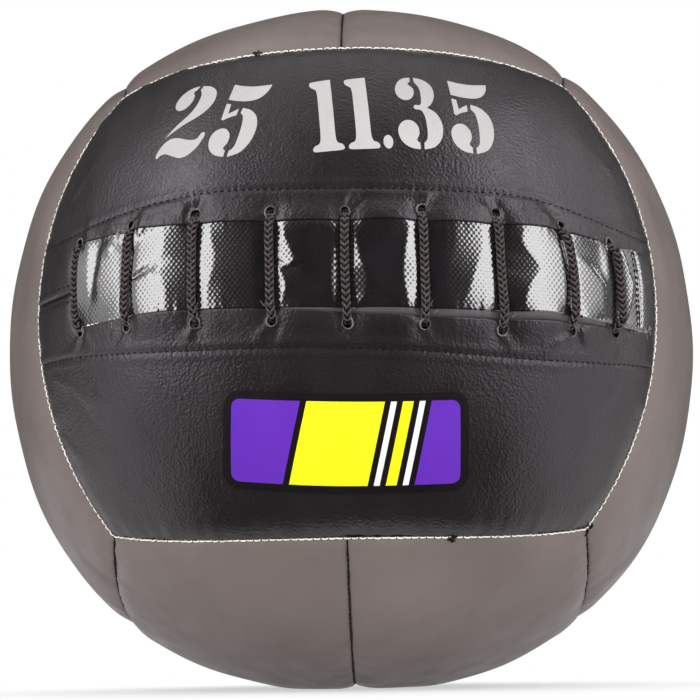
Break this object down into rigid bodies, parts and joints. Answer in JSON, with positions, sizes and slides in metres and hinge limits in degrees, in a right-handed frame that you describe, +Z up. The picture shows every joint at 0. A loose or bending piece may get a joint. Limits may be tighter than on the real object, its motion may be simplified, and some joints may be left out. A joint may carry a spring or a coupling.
{
  "type": "wall ball",
  "caption": "Soft weighted training ball sewn from crowned strips, black and grey, with a laced slit in front, a flat resting face and its padding, stuffing and weight inside.",
  "frame": {"origin": "centre of the ball's outline on the surface that it stands on", "axes": "+Z up, the laced black face looks along -Y, +X to the right of someone who faces that face"},
  "size_m": [0.3544, 0.3598, 0.352],
  "materials": {
    "black_vinyl": "satin grained coated fabric",
    "grey_vinyl": "satin grained coated fabric",
    "coated_scrim": "high gloss coated mesh fabric",
    "webbing_tape": "matte tape",
    "braided_cord": "matte braid",
    "pad_foam": "matte closed-cell foam",
    "liner_cloth": "matte woven cloth",
    "textile_fill": "matte packed fibre",
    "canvas": "matte canvas",
    "iron_grit": "dull metal grit"
  },
  "bodies": {
    "root": {"front_upper_panel": "black_vinyl", "front_lower_panel": "black_vinyl", "back_upper_panel": "black_vinyl", "back_lower_panel": "black_vinyl", "top_left_panel": "grey_vinyl", "top_right_panel": "grey_vinyl", "bottom_left_panel": "grey_vinyl", "bottom_right_panel": "grey_vinyl", "left_front_panel": "grey_vinyl", "left_back_panel": "grey_vinyl", "right_front_panel": "grey_vinyl", "right_back_panel": "grey_vinyl", "front_upper_pad": "pad_foam", "front_lower_pad": "pad_foam", "back_upper_pad": "pad_foam", "back_lower_pad": "pad_foam", "top_left_pad": "pad_foam", "top_right_pad": "pad_foam", "bottom_left_pad": "pad_foam", "bottom_right_pad": "pad_foam", "left_front_pad": "pad_foam", "left_back_pad": "pad_foam", "right_front_pad": "pad_foam", "right_back_pad": "pad_foam", "upper_lacing_facing": "webbing_tape", "lower_lacing_facing": "webbing_tape", "lacing_tongue": "coated_scrim", "tongue_binding": "webbing_tape", "lace": "braided_cord", "liner_bag": "liner_cloth", "front_stuffing": "textile_fill", "back_stuffing": "textile_fill", "weight_bag": "canvas", "weight_bag_tie": "canvas", "weight_fill": "iron_grit"}
  },
  "joints": []
}
